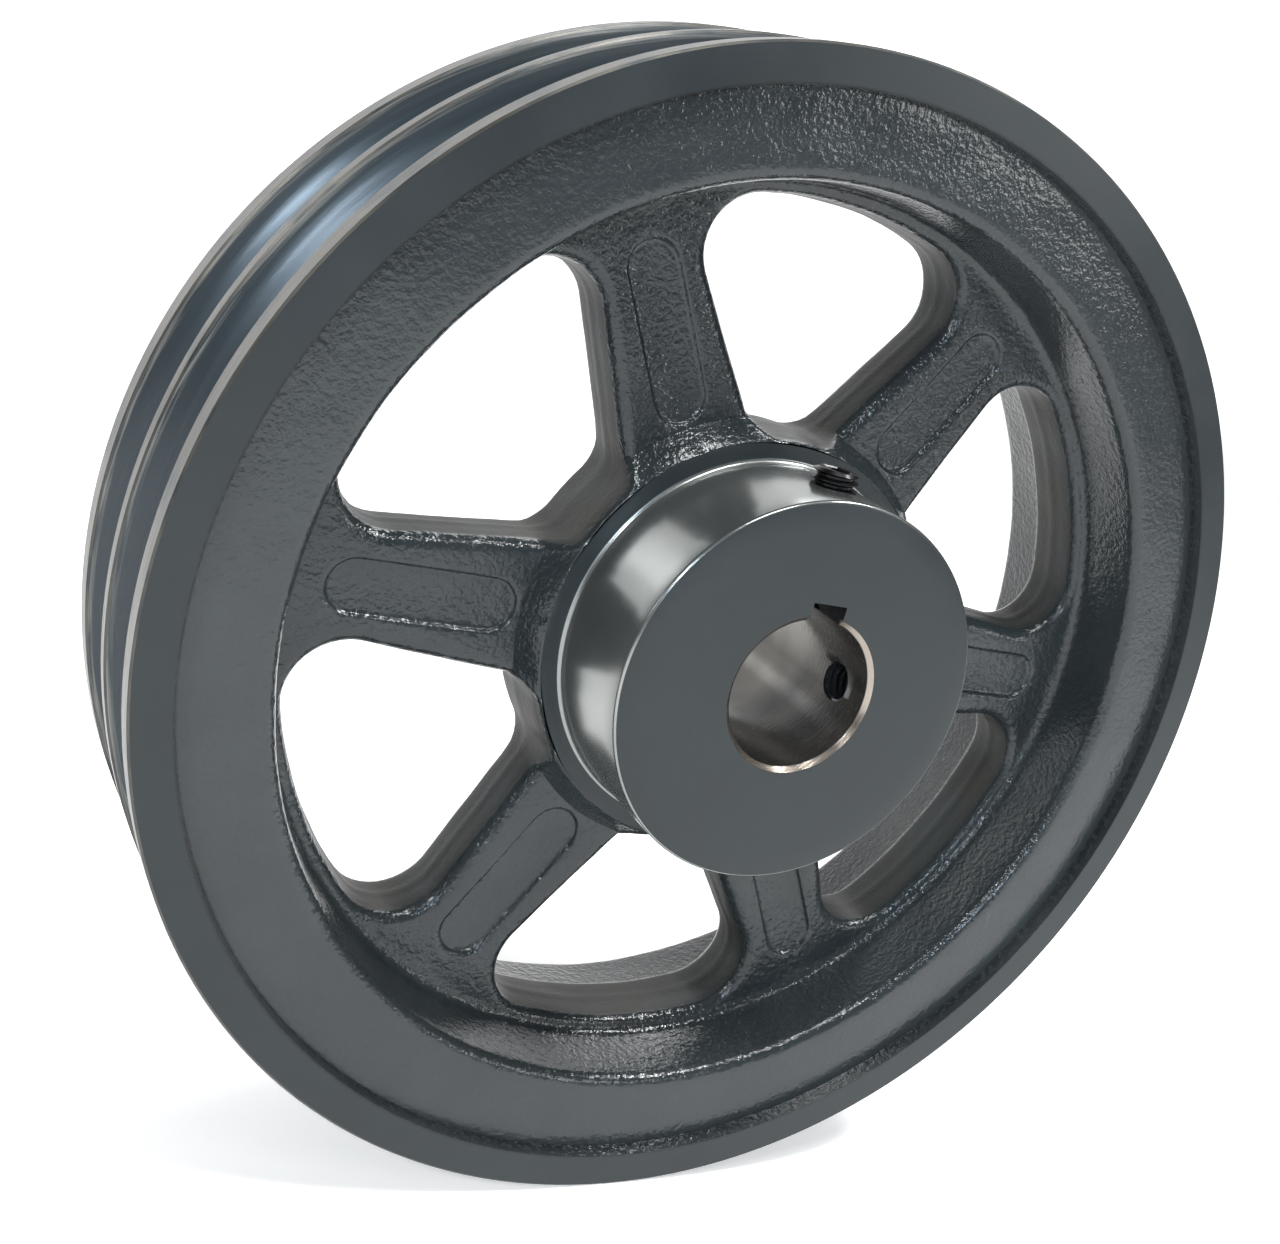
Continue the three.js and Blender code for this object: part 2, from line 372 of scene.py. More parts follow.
def window_sheet():
    """The skin of one sixth of the arms' web, round its window, from the front border to the back one."""
    outline, facing, _ = window_loop(SHOULDER_FRONT[0])
    front = window_side(-1, SHOULDER_FRONT, EDGE_ROUND_DOWN_FRONT)
    back = window_side(1, SHOULDER_BACK, EDGE_ROUND_DOWN_BACK)
    top, bottom = front[-1][1], back[-1][1]
    rows = list(front)
    for t in np.linspace(0, 1, WALL_ROWS)[1:-1]:
        height = top + t * (bottom - top)
        ridge = PARTING_RIDGE * np.exp(-(height / PARTING_RIDGE_WIDTH) ** 2)
        lean = WALL_DRAFT * np.abs(height) - ridge
        rows.append((outline + lean[:, None] * facing, height))
    rows.extend(reversed(back))
    return np.array([np.stack([flat[:, 0], height, flat[:, 1]], 1) for flat, height in rows])


def turned_about_bore(sheet, angle):
    c, s = math.cos(angle), math.sin(angle)
    return sheet @ np.array([[c, 0, -s], [0, 1, 0], [s, 0, c]])


# ---------- the rim and the hub ----------

def groove_line(centre):
    """One belt groove from its front lip to its back lip, with rounded lips and floor corners."""
    half = GROOVE_TOP_WIDTH / 2
    lean = GROOVE_ANGLE / 2
    floor_half = half - GROOVE_DEPTH * math.tan(lean)
    floor_r = RIM_R - GROOVE_DEPTH
    wall_foot = (floor_r + GROOVE_FLOOR_FILLET, -floor_half - GROOVE_FLOOR_FILLET * math.tan(lean))
    wall_head = (RIM_R - LIP_ROUND, -half + LIP_ROUND * math.tan(lean))
    front = [(RIM_R, -half - LIP_ROUND / 2), wall_head]
    front += stretch(wall_head, wall_foot, 5)
    front += [wall_foot, (floor_r + 0.2 * GROOVE_FLOOR_FILLET, -floor_half + 0.1 * GROOVE_FLOOR_FILLET)]
    front += [(floor_r, -floor_half + 0.7 * GROOVE_FLOOR_FILLET)]
    back = [(r, -y) for r, y in reversed(front)]
    return [(r, y + centre) for r, y in front + back]


def rim_inside():
    """The inside of the rim from the flange's border to the front of its outer face."""
    ring_face = RIM_FRONT + BAND_STEP
    border_height = float(face_height(np.array(FLANGE_BORDER_R), SHOULDER_FRONT))
    fillet_middle = (DRUM_ROOT_R, -ARM_FACE - DRUM_ROOT_FILLET)
    mouth_foot = (DRUM_MOUTH_R, ring_face + DRUM_MOUTH_ROUND)
    ring_start = (DRUM_MOUTH_R + DRUM_MOUTH_ROUND, ring_face)
    ring_end = (BAND_INNER_R - BAND_STEP_SLOPE, ring_face)
    band_start = (BAND_INNER_R, RIM_FRONT)
    band_end = (RIM_R - LIP_ROUND, RIM_FRONT)
    line = [(FLANGE_BORDER_R, -border_height), DRUM_ROOT_BEND, fillet_middle]
    line += stretch(fillet_middle, mouth_foot, 6)
    line += arc((ring_start[0], mouth_foot[1]), DRUM_MOUTH_ROUND, 180, 270, 6)
    line += stretch(ring_start, ring_end, 8)
    line += [ring_end]
    line += stretch(ring_end, band_start, 3)
    line += [band_start]
    line += stretch(band_start, band_end, 3)
    return line + [band_end, (RIM_R, RIM_FRONT + LIP_ROUND)]


def rim_line():
    inside = rim_inside()
    grooves = groove_line(-GROOVE_PITCH / 2) + groove_line(GROOVE_PITCH / 2)
    return inside + grooves + [(r, -y) for r, y in reversed(inside)]


def hub_line():
    """The hub from the front shoulder over its front end, through the bore and round to the back one."""
    shoulder = (SHOULDER_FRONT[0], -SHOULDER_FRONT[1])
    root = (HUB_R + HUB_ROOT_FILLET, -SHOULDER_FRONT[1])
    line = [shoulder] + stretch(shoulder, root, 3)
    line += arc((root[0], root[1] - HUB_ROOT_FILLET), HUB_ROOT_FILLET, 90, 180, 6)
    edge = (HUB_R - HUB_EDGE_ROUND, HUB_FRONT + HUB_EDGE_ROUND)
    line += stretch(line[-1], (HUB_R, edge[1]), 5)
    line += arc(edge, HUB_EDGE_ROUND, 0, -90, 4)
    chamfer = (BORE_R + BORE_CHAMFER, HUB_FRONT)
    line += stretch(line[-1], chamfer, 5)
    line += [chamfer, (BORE_R, HUB_FRONT + BORE_CHAMFER)]
    line += stretch(line[-1], (BORE_R, HUB_BACK - BORE_CHAMFER), 12)
    line += [(BORE_R, HUB_BACK - BORE_CHAMFER), (BORE_R + BORE_CHAMFER, HUB_BACK)]
    edge = (HUB_BACK_R - HUB_EDGE_ROUND, HUB_BACK - HUB_EDGE_ROUND)
    line += stretch(line[-1], (edge[0], HUB_BACK), 4)
    line += arc(edge, HUB_EDGE_ROUND, 90, 0, 4)
    line += stretch(line[-1], SHOULDER_BACK, 3)
    return line + [SHOULDER_BACK]


def cast_share(place):
    """How much of a point's skin is as cast: 0 where it was turned, 1 well away from that."""
    radius = math.hypot(place.x, place.z)
    by_rim = (BAND_INNER_R - BAND_CLEARANCE - radius) / BAND_FADE
    by_hub = (radius - SHOULDER_FRONT[0]) / HUB_FADE
    if place.y > ARM_FACE and radius < SHOULDER_FOOT_R:
        by_hub = (HUB_BACK - HUB_FADE - place.y) / HUB_FADE if radius > HUB_R else 0
    return min(max(min(by_rim, by_hub), 0), 1)


def roughen(mesh):
    """Moves the cast skin in and out a little, in lumps and finer ripples."""
    normals = [v.normal.copy() for v in mesh.vertices]
    for vertex, normal in zip(mesh.vertices, normals):
        share = cast_share(vertex.co)
        if share > 0:
            lump = LUMP_HEIGHT * noise.noise(vertex.co / LUMP_SPACING)
            ripple = RIPPLE_HEIGHT * noise.noise(vertex.co / RIPPLE_SPACING)
            vertex.co += share * (lump + ripple) * normal


def stadium(half_width, middle, half_length):
    """A round-ended outline along +Z, as (x, z) points."""
    top = arc((0, middle + half_length), half_width, 0, 180, PANEL_END_STEPS)
    bottom = arc((0, middle - half_length), half_width, 180, 360, PANEL_END_STEPS)
    return np.array(top + bottom)


def panel_cutters():
    """The shapes that sink a round-ended panel into both faces of every arm."""
    middle = (PANEL_INNER_R + PANEL_OUTER_R) / 2
    half_length = (PANEL_OUTER_R - PANEL_INNER_R) / 2 - PANEL_HALF_WIDTH
    sheets = []
    for side in (-1, 1):
        rows = []
        for widen, depth in PANEL_SLOPE:
            flat = stadium(PANEL_HALF_WIDTH + widen * MM, middle, half_length)
            sunk = depth * PANEL_DEPTH / PANEL_SLOPE[-1][1]
            height = np.full(len(flat), side * (ARM_FACE - sunk))
            rows.append(np.stack([flat[:, 0], height, flat[:, 1]], 1))
        for index in range(ARM_COUNT):
            sheets.append(turned_about_bore(np.array(rows), (index + 0.5) * TURN / ARM_COUNT))
    return joined("panel_cutters", sheets)


def keyway_cutter():
    half = KEYWAY_WIDTH / 2
    overrun = 5 * MM
    flat = np.array([(-half, 0), (half, 0), (half, KEYWAY_TOP), (-half, KEYWAY_TOP)])
    ends = (HUB_FRONT - overrun, HUB_BACK + overrun)
    rows = [np.stack([flat[:, 0], np.full(4, y), flat[:, 1]], 1) for y in ends]
    return joined("keyway_cutter", [np.array(rows)])


# ---------- threads ----------

def threaded_rod(name, start, end, grow=0.0):
    """A rod along +Z with a right-hand thread, in step with every other rod that this makes.

    Each row of points climbs with the thread, so that crest and root stay clean lines.
    """
    crest, root = SCREW_R + grow, SCREW_R - THREAD_DEPTH + grow
    # shares of one turn: along the crest, down a flank, along the root, and back up to the next crest
    profile = [(0.0, crest), (0.125, crest), (0.4375, root), (0.6875, root)]
    turns = int((end - start) / THREAD_PITCH) + 1
    base = round(start / THREAD_PITCH) * THREAD_PITCH
    rows = [
        (base + (turn + share) * THREAD_PITCH, radius)
        for turn in range(turns) for share, radius in profile
    ]
    points, faces = [], []
    for height, radius in rows:
        for step in range(THREAD_STEPS):
            angle = TURN * step / THREAD_STEPS
            climb = height + THREAD_PITCH * step / THREAD_STEPS
            points.append((radius * math.cos(angle), radius * math.sin(angle), climb))
    count, lift = len(rows), len(profile)

    def point(row, step):
        if step == THREAD_STEPS:
            row, step = row + lift, 0
        return row * THREAD_STEPS + step

    for row in range(count - 1):
        for step in range(THREAD_STEPS):
            if step < THREAD_STEPS - 1 or row + 1 + lift < count:
                near = (point(row, step), point(row, step + 1))
                far = (point(row + 1, step + 1), point(row + 1, step))
                faces.append(near + far)
    mesh = bpy.data.meshes.new(name)
    mesh.from_pydata(points, [], faces)
    close_ends(mesh)
    return placed(name, mesh)


def close_ends(mesh):
    """Closes each open loop of a rod with a fan to a point on its axis."""
    shape = bmesh.new()
    shape.from_mesh(mesh)
    bmesh.ops.delete(shape, geom=[v for v in shape.verts if not v.link_faces], context="VERTS")
    heights = [v.co.z for v in shape.verts]
    middle = (min(heights) + max(heights)) / 2
    for side in (-1, 1):
        loop = [e for e in shape.edges if e.is_boundary and side * (e.verts[0].co.z - middle) > 0]
        tip = shape.verts.new((0, 0, (min(heights) if side < 0 else max(heights))))
        for edge in loop:
            shape.faces.new((edge.verts[0], edge.verts[1], tip))
    bmesh.ops.recalc_face_normals(shape, faces=shape.faces)
    shape.to_mesh(mesh)
    shape.free()


def along_z(piece):
    """Turns a piece made about Y so that its +Y becomes +Z."""
    piece.data.transform(Matrix.Rotation(math.pi / 2, 4, "X"))


def screw_envelope(tip):
    """The smooth outside of a set screw: its cup point, its length and its bevelled socket end."""
    outer = SCREW_R + ENVELOPE_CLEARANCE
    cup_inner = (CUP_R - CUP_EDGE_INNER[0], CUP_EDGE_INNER[1])
    cup_outer = (CUP_R + CUP_EDGE_OUTER[0], CUP_EDGE_OUTER[1])
    line = [
        (0, CUP_DEPTH), cup_inner, (CUP_R, 0), cup_outer, (outer, CUP_LENGTH),
        (outer, SCREW_LENGTH - SOCKET_END_BEVEL), (SCREW_R - SOCKET_END_BEVEL, SCREW_LENGTH),
        (0, SCREW_LENGTH),
    ]
    piece = joined("screw_envelope", [turned(line, THREAD_STEPS * 2)])
    along_z(piece)
    piece.data.transform(Matrix.Translation((0, 0, tip)))
    return piece


def socket_cutter(tip):
    """The hexagon socket, with a bevelled mouth and a drilled cone under it."""
    top = tip + SCREW_LENGTH
    corner = SOCKET_HALF_FLATS / math.cos(math.pi / 6)
    outline = [
        (corner + 3 * SOCKET_BEVEL, top + 2 * SOCKET_BEVEL), (corner + SOCKET_BEVEL, top),
        (corner, top - SOCKET_BEVEL), (corner, top - SOCKET_DEPTH), (0, top - SOCKET_DEPTH - 0.5 * corner),
    ]
    angles = [i * TURN / 6 for i in range(6)]
    rows = [
        [(radius * math.cos(a), radius * math.sin(a), height) for a in angles]
        for radius, height in outline
    ]
    return joined("socket_cutter", [np.array(rows)])


def set_screw(name, node, body, tip, angle):
    """One set screw, its cup point tip from the bore's axis, turned about the bore from +Z."""
    screw = threaded_rod(name, tip - 2 * THREAD_PITCH, tip + SCREW_LENGTH + 2 * THREAD_PITCH)
    combine(screw, screw_envelope(tip), "INTERSECT")
    combine(screw, socket_cutter(tip), "DIFFERENCE")
    screw.data.transform(Matrix.Translation((0, SCREW_Y, 0)))
    rotate_about_bore(screw, angle)
    smooth(screw, 35)
    screw.data.materials.clear()
    screw.data.materials.append(black_oxide())
    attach(screw, body)
    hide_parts(node)


def screw_hole_cutter(angle):
    """A tapped hole from inside the bore out past the hub, in step with its screw's thread."""
    hole = threaded_rod("screw_hole_cutter", HOLE_START_R, HUB_R + HOLE_OVERRUN, THREAD_CLEARANCE)
    hole.data.transform(Matrix.Translation((0, SCREW_Y, 0)))
    rotate_about_bore(hole, angle)
    return hole


def smooth(piece, sharp_above):
    """Smooth shading, with an edge kept sharp where its faces meet at more than that many degrees."""
    piece.data.shade_smooth()
    piece.data.set_sharp_from_angle(angle=math.radians(sharp_above))


# ---------- materials ----------

# turned streaks are read from noise on a circle this small, which draws them out round the bore
STREAK_CIRCLE_R = 3.0 * MM


class Graph:
    """A material's nodes, made one call at a time."""

    def __init__(self, name):
        self.material = bpy.data.materials.new(name)
        self.material.use_nodes = True
        self.tree = self.material.node_tree
        self.shader = self.tree.nodes["Principled BSDF"]

    def node(self, kind, settings=None, **inputs):
        made = self.tree.nodes.new(kind)
        for key, value in (settings or {}).items():
            setattr(made, key, value)
        for key, value in inputs.items():
            socket = made.inputs[int(key[1:])] if key[0] == "i" and key[1:].isdigit() else made.inputs[key]
            self.give(socket, value)
        return made

    def give(self, socket, value):
        if isinstance(value, bpy.types.NodeSocket):
            self.tree.links.new(value, socket)
        else:
            socket.default_value = value

    def shade(self, **values):
        for key, value in values.items():
            self.give(self.shader.inputs[key.replace("_", " ")], value)

    def place(self):
        return self.node("ShaderNodeTexCoord").outputs["Object"]

    def maths(self, operation, a, b=0.0):
        return self.node("ShaderNodeMath", {"operation": operation}, i0=a, i1=b).outputs[0]

    def ramp(self, value, low, high, start=0.0, end=1.0):
        """value from low..high to start..end, held at both ends."""
        made = self.node("ShaderNodeMapRange", {"clamp": True}, i0=value, i1=low, i2=high, i3=start, i4=end)
        return made.outputs[0]

    def mix(self, share, a, b):
        made = self.node("ShaderNodeMix", {"data_type": "RGBA"})
        self.give(made.inputs[0], share)
        self.give(made.inputs[6], a)
        self.give(made.inputs[7], b)
        return made.outputs[2]

    def noise(self, vector, spacing, detail=2.0, roughness=0.5):
        sockets = {"Vector": vector, "Scale": 1 / spacing, "Detail": detail, "Roughness": roughness}
        return self.node("ShaderNodeTexNoise", **sockets).outputs[0]

    def vector_maths(self, operation, output=0, **inputs):
        return self.node("ShaderNodeVectorMath", {"operation": operation}, **inputs).outputs[output]

    def around(self):
        """Distance from the bore's axis, distance along it, and where to read a noise for turned streaks.

        That place changes slowly round the bore and fast across it. A finish that has no use for one of
        the three leaves it out.
        """
        x, y, z = self.node("ShaderNodeSeparateXYZ", i0=self.place()).outputs
        flat = self.node("ShaderNodeCombineXYZ", i0=x, i2=z).outputs[0]
        radius = self.vector_maths("LENGTH", "Value", i0=flat)
        heading = self.vector_maths("NORMALIZE", i0=flat)
        slow = self.vector_maths("SCALE", i0=heading, Scale=STREAK_CIRCLE_R)
        across = self.node("ShaderNodeCombineXYZ", i0=radius, i1=y).outputs[0]
        streak = self.vector_maths("ADD", i0=slow, i1=across)
        return radius, y, streak

    def bump(self, height, distance, strength=1.0, normal=None):
        made = self.node("ShaderNodeBump", Height=height, Distance=distance, Strength=strength)
        if normal is not None:
            self.give(made.inputs["Normal"], normal)
        return made.outputs[0]


def tint(r, g, b):
    return (r, g, b, 1.0)


PAINT = tint(0.021, 0.027, 0.029)
PAINT_DARK = tint(0.011, 0.014, 0.016)
PAINT_PALE = tint(0.038, 0.044, 0.046)
DUST = tint(0.030, 0.025, 0.019)


def cast_paint():
    """Enamel over cast iron: orange peel, grains, dust in the windows, a ring painted paler than the arms
    as painted light, and a ragged line of painted shade on the step.
    """
    g = Graph("cast_paint")
    place = g.place()
    radius, _, _ = g.around()
    blotch = g.noise(place, 14 * MM, 3)
    peel = g.noise(place, 0.9 * MM, 2, 0.55)
    grain = g.noise(place, 0.5 * MM, 2, 0.6)
    cells = g.node("ShaderNodeTexVoronoi", {"feature": "SMOOTH_F1"}, Vector=place, Scale=1 / (1.3 * MM))
    pits = cells.outputs[0]
    colour = g.mix(g.ramp(blotch, 0.35, 0.65), PAINT, g.mix(0.5, PAINT, PAINT_DARK))
    colour = g.mix(g.ramp(grain, 0.62, 0.75, 0, 0.35), colour, PAINT_PALE)
    surface_normal = g.node("ShaderNodeNewGeometry").outputs["Normal"]
    facing = g.node("ShaderNodeSeparateXYZ", i0=surface_normal).outputs[1]
    upright = g.ramp(g.maths("ABSOLUTE", facing), 0.15, 0.4, 1, 0)
    in_window = g.ramp(radius, WINDOW_OUTER_R + 1 * MM, WINDOW_OUTER_R + 2 * MM, 1, 0)
    on_ring = g.ramp(radius, DRUM_MOUTH_R, DRUM_MOUTH_R + DRUM_MOUTH_ROUND)
    # painted light: the cast ring is painted a little paler than the arms, for the shade that falls more on
    # the arms than on the ring
    colour = g.mix(g.maths("MULTIPLY", on_ring, 0.3), colour, PAINT_PALE)
    wall = g.maths("MULTIPLY", upright, in_window)
    dusty = g.maths("MULTIPLY", wall, g.ramp(blotch, 0.3, 0.7, 0.15, 0.7))
    colour = g.mix(dusty, colour, DUST)
    # painted shade: a dark ragged line on the step up to the turned band, where the step's shade falls
    off_step = g.maths("ABSOLUTE", g.maths("SUBTRACT", radius, BAND_INNER_R - 0.4 * MM))
    step = g.ramp(off_step, 0, 0.45 * MM, 1, 0)
    ragged = g.maths("MULTIPLY", step, g.ramp(peel, 0.38, 0.5, 0, 0.9))
    colour = g.mix(ragged, colour, tint(0.010, 0.011, 0.013))
    calm = g.maths("MULTIPLY", g.ramp(wall, 0, 1, 1, 0.35), g.ramp(on_ring, 0, 1, 1, 0.6))
    normal = g.bump(peel, 0.18 * MM, calm)
    normal = g.bump(pits, 0.10 * MM, g.maths("MULTIPLY", calm, 0.8), normal)
    normal = g.bump(grain, 0.07 * MM, calm, normal)
    gloss = g.ramp(blotch, 0.3, 0.7, 0.10, 0.15)
    g.shade(Base_Color=colour, Roughness=g.maths("ADD", gloss, g.ramp(wall, 0, 1, 0, 0.35)), Normal=normal)
    g.shade(Metallic=0.0, Specular_IOR_Level=g.ramp(wall, 0, 1, 0.42, 0.2))
    return g.material


def turned_paint():
    """Thin enamel over turned iron: fine rings, faint rubs, pale scratches and a dark ragged line of
    painted shade along its inner edge, by the step.
    """
    g = Graph("turned_paint")
    place = g.place()
    radius, _, streak = g.around()
    rings = g.noise(streak, 0.22 * MM, 2)
    broad = g.noise(streak, 2.5 * MM, 2)
    rub = g.noise(place, 18 * MM, 4, 0.6)
    drawn_out = g.node("ShaderNodeMapping", Vector=place, Rotation=(0.3, 0.9, 0.2), Scale=(1, 1, 14))
    scratches = g.ramp(g.noise(drawn_out.outputs[0], 3 * MM, 3, 0.65), 0.72, 0.82, 0, 0.35)
    colour = g.mix(g.ramp(rub, 0.35, 0.7), tint(0.018, 0.023, 0.025), tint(0.022, 0.028, 0.030))
    colour = g.mix(g.maths("MULTIPLY", scratches, g.ramp(rub, 0.45, 0.6)), colour, tint(0.16, 0.16, 0.155))
    colour = g.mix(g.ramp(rings, 0.3, 0.7, 0, 0.15), colour, PAINT_DARK)
    # painted shade: a dark ragged line on the band's inner edge, for the shadow in the gap at the step
    lip = g.ramp(g.maths("ABSOLUTE", g.maths("SUBTRACT", radius, BAND_INNER_R)), 0.15 * MM, 0.4 * MM, 1, 0)
    ragged = g.maths("MULTIPLY", lip, g.ramp(g.noise(place, 0.9 * MM, 2), 0.35, 0.5, 0.2, 0.9))
    colour = g.mix(ragged, colour, tint(0.008, 0.009, 0.010))
    normal = g.bump(rings, 0.010 * MM, 0.8)
    normal = g.bump(broad, 0.012 * MM, 0.6, normal)
    g.shade(Base_Color=colour, Roughness=g.ramp(rub, 0.3, 0.7, 0.28, 0.38), Normal=normal)
    g.shade(Metallic=0.0, Specular_IOR_Level=0.3)
    return g.material


def turned_hub():
    """The hub's turned side: a thin, glossy grey that mirrors the lights in patches."""
    g = Graph("turned_hub")
    _, _, streak = g.around()
    rings = g.noise(streak, 0.22 * MM, 2)
    rub = g.noise(g.place(), 12 * MM, 3)
    colour = g.mix(g.ramp(rub, 0.35, 0.7), tint(0.22, 0.235, 0.232), tint(0.27, 0.28, 0.27))
    g.shade(Base_Color=colour, Roughness=g.ramp(rub, 0.3, 0.7, 0.20, 0.27))
    g.shade(Normal=g.bump(rings, 0.006 * MM, 0.8), Metallic=0.85)
    return g.material


def groove_paint():
    """The belt grooves' walls: bluish, a little glossier, with turning rings and wear towards the lips."""
    g = Graph("groove_paint")
    radius, _, streak = g.around()
    rings = g.noise(streak, 0.35 * MM, 3)
    broad = g.noise(streak, 1.8 * MM, 2)
    colour = g.mix(broad, tint(0.019, 0.027, 0.032), tint(0.032, 0.042, 0.049))
    worn = g.maths("MULTIPLY", g.ramp(radius, RIM_R - 1.2 * MM, RIM_R - 0.2 * MM), g.ramp(rings, 0.4, 0.7))
    colour = g.mix(worn, colour, tint(0.30, 0.29, 0.26))
    g.shade(Base_Color=colour, Roughness=g.ramp(broad, 0.3, 0.7, 0.20, 0.30))
    g.shade(Normal=g.bump(rings, 0.012 * MM, 0.8), Metallic=0.1, Specular_IOR_Level=0.4)
    return g.material


def worn_land():
    """The narrow lands beside the grooves, rubbed to bare iron, with paint left in patches."""
    g = Graph("worn_land")
    _, _, streak = g.around()
    patches = g.noise(g.place(), 9 * MM, 3, 0.55)
    rings = g.noise(streak, 0.3 * MM, 2)
    bare = g.mix(rings, tint(0.050, 0.050, 0.045), tint(0.095, 0.090, 0.080))
    colour = g.mix(g.ramp(patches, 0.46, 0.62), bare, tint(0.034, 0.038, 0.039))
    g.shade(Base_Color=colour, Roughness=g.ramp(rings, 0.3, 0.7, 0.28, 0.42))
    g.shade(Normal=g.bump(rings, 0.012 * MM, 0.7), Metallic=0.6)
    return g.material


def bare_bore():
    """Bored iron, oiled and brown, with chamfers painted pale as a painted highlight, a keyway painted
    nearly black for its dark oily finish and as painted shade, and a second hole painted a pale bluish grey
    as a painted highlight on its threads.
    """
    g = Graph("bare_bore")
    radius, y, streak = g.around()
    rings = g.noise(streak, 0.30 * MM, 3)
    stain = g.noise(g.place(), 16 * MM, 2)
    colour = g.mix(g.ramp(stain, 0.3, 0.75), tint(0.045, 0.045, 0.046), tint(0.17, 0.162, 0.145))
    middle, half = (HUB_FRONT + HUB_BACK) / 2, (HUB_BACK - HUB_FRONT) / 2
    off_middle = g.maths("ABSOLUTE", g.maths("SUBTRACT", y, middle))
    # the keyway is painted nearly black: partly its dark oily finish, partly painted shade
    outside = g.ramp(radius, BORE_R + 0.03 * MM, BORE_R + 0.1 * MM)
    x, _, z = g.node("ShaderNodeSeparateXYZ", i0=g.place()).outputs
    # painted highlight: the second tapped hole is painted a pale bluish grey for the light on its threads,
    # which its depth keeps out
    by_second_hole = g.ramp(g.maths("SUBTRACT", x, z), 0, 0.5 * MM)
    cut = g.mix(by_second_hole, tint(0.022, 0.022, 0.026), tint(0.13, 0.14, 0.155))
    colour = g.mix(outside, colour, cut)
    # painted highlight: the bore's chamfers are painted pale
    by_end = g.ramp(off_middle, half - BORE_CHAMFER - 0.1 * MM, half - BORE_CHAMFER)
    by_bore = g.ramp(radius, BORE_R + BORE_CHAMFER, BORE_R + BORE_CHAMFER + 0.1 * MM, 1, 0)
    chamfer = g.maths("MULTIPLY", outside, g.maths("MULTIPLY", by_end, by_bore))
    colour = g.mix(chamfer, colour, tint(0.32, 0.28, 0.24))
    g.shade(Base_Color=colour, Roughness=g.ramp(rings, 0.3, 0.7, 0.18, 0.28))
    g.shade(Normal=g.bump(rings, 0.022 * MM, 0.9), Metallic=0.9)
    return g.material


def black_oxide():
    """Black oxide steel with a film of oil."""
    g = Graph("black_oxide")
    mottle = g.noise(g.place(), 1.2 * MM, 3)
    colour = g.mix(mottle, tint(0.012, 0.012, 0.013), tint(0.034, 0.034, 0.036))
    g.shade(Base_Color=colour, Roughness=g.ramp(mottle, 0.3, 0.7, 0.22, 0.36))
    g.shade(Normal=g.bump(mottle, 0.01 * MM, 0.6), Metallic=0.85)
    return g.material


# ---------- the casting ----------

CAST, TURNED, GROOVE, LAND, BORE, HUB_SIDE = range(6)

# where one finish gives way to the next
HAIR = 0.01 * MM
LAND_DEPTH = 0.45 * MM
GROOVE_MARGIN = 0.1 * MM
CHAMFER_MARGIN = 0.02 * MM
HOLE_MARGIN = 0.4 * MM
HUB_SIDE_MARGIN = 0.05 * MM
HUB_BACK_MARGIN = 0.1 * MM
HUB_BACK_DEPTH = 0.7 * MM
HUB_SIDE_END = -ARM_FACE - 3.9 * MM
# a face that looks more along the bore than this is not part of a land, or of the hub's side
LAND_NORMAL_Y = 0.9
HUB_SIDE_NORMAL_Y = 0.95


def skin_of(centre, normal):
    """Which finish the casting has at a face, from where the face is and which way it looks."""
    radius = math.hypot(centre.x, centre.z)
    if radius > RIM_R - LAND_DEPTH and abs(normal.y) < LAND_NORMAL_Y:
        return LAND
    in_grooves = abs(centre.y) < (GROOVE_PITCH + GROOVE_TOP_WIDTH) / 2
    if radius > RIM_R - GROOVE_DEPTH - GROOVE_MARGIN and in_grooves:
        return GROOVE
    if radius > BAND_INNER_R - HAIR:
        return TURNED
    in_keyway = abs(centre.x) < KEYWAY_WIDTH / 2 + HAIR and 0 < centre.z < KEYWAY_TOP + HAIR
    if radius < BORE_R + BORE_CHAMFER - CHAMFER_MARGIN or in_keyway:
        return BORE
    off_z = math.hypot(centre.x, centre.y - SCREW_Y)
    off_x = math.hypot(centre.z, centre.y - SCREW_Y)
    off_hole = min(off_z if centre.z > 0 else 1, off_x if centre.x > 0 else 1)
    if off_hole < SCREW_R + HOLE_MARGIN and BORE_R < radius < HUB_R - HUB_SIDE_MARGIN:
        return BORE
    if radius < SHOULDER_FRONT[0] + HAIR and centre.y < HUB_SIDE_END:
        on_side = abs(normal.y) < HUB_SIDE_NORMAL_Y and radius > BORE_R + BORE_CHAMFER
        return HUB_SIDE if on_side else TURNED
    if radius < HUB_BACK_R + HUB_BACK_MARGIN and centre.y > HUB_BACK - HUB_BACK_DEPTH:
        return TURNED
    return CAST


def sheave_casting():
    sixth = window_sheet()
    sixths = [turned_about_bore(sixth, index * TURN / ARM_COUNT) for index in range(ARM_COUNT)]
    casting = joined("casting_skin", [turned(hub_line()), turned(rim_line()), *sixths])
    roughen(casting.data)
    combine(casting, panel_cutters(), "DIFFERENCE")
    combine(casting, keyway_cutter(), "DIFFERENCE")
    combine(casting, screw_hole_cutter(0), "DIFFERENCE")
    combine(casting, screw_hole_cutter(TURN / 4), "DIFFERENCE")
    casting.data.materials.clear()
    for material in (cast_paint(), turned_paint(), groove_paint(), worn_land(), bare_bore(), turned_hub()):
        casting.data.materials.append(material)
    for face in casting.data.polygons:
        face.material_index = skin_of(face.center, face.normal)
    smooth(casting, 32)
    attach(casting, "casting")
    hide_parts("sheave_casting")


# ---------- stage ----------

